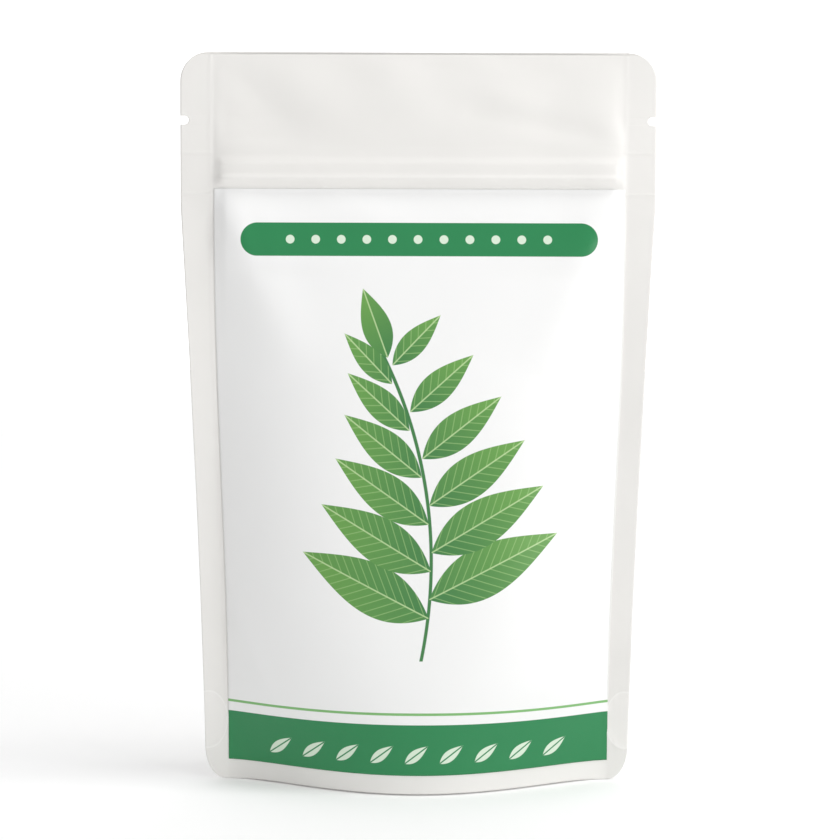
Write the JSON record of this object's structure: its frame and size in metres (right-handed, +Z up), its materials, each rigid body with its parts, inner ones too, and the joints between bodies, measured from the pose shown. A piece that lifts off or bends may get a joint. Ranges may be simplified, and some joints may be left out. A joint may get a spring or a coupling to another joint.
{
  "type": "stand-up pouch",
  "caption": "Filled flat-bottomed film pouch with welded side fins, a press-to-close zip, tear notches, a folded gusset and a front label.",
  "frame": {"origin": "on the floor, under the middle of the pouch, in the plane of its side seals", "axes": "+X to the pouch's right in the front view, +Y to its back, +Z up; the label faces -Y"},
  "size_m": [0.13, 0.0451, 0.2],
  "materials": {
    "film": "satin off-white laminate film",
    "zip": "cloudy pressed plastic strip",
    "label": "smooth white label with a green band and leaf motif",
    "powder": "fine dry powder"
  },
  "bodies": {
    "root": {"front_panel": "film", "back_panel": "film", "bottom_gusset": "film", "zip_rib_strip": "zip", "zip_groove_strip": "zip", "front_label": "label", "powder_fill": "powder"}
  },
  "joints": []
}
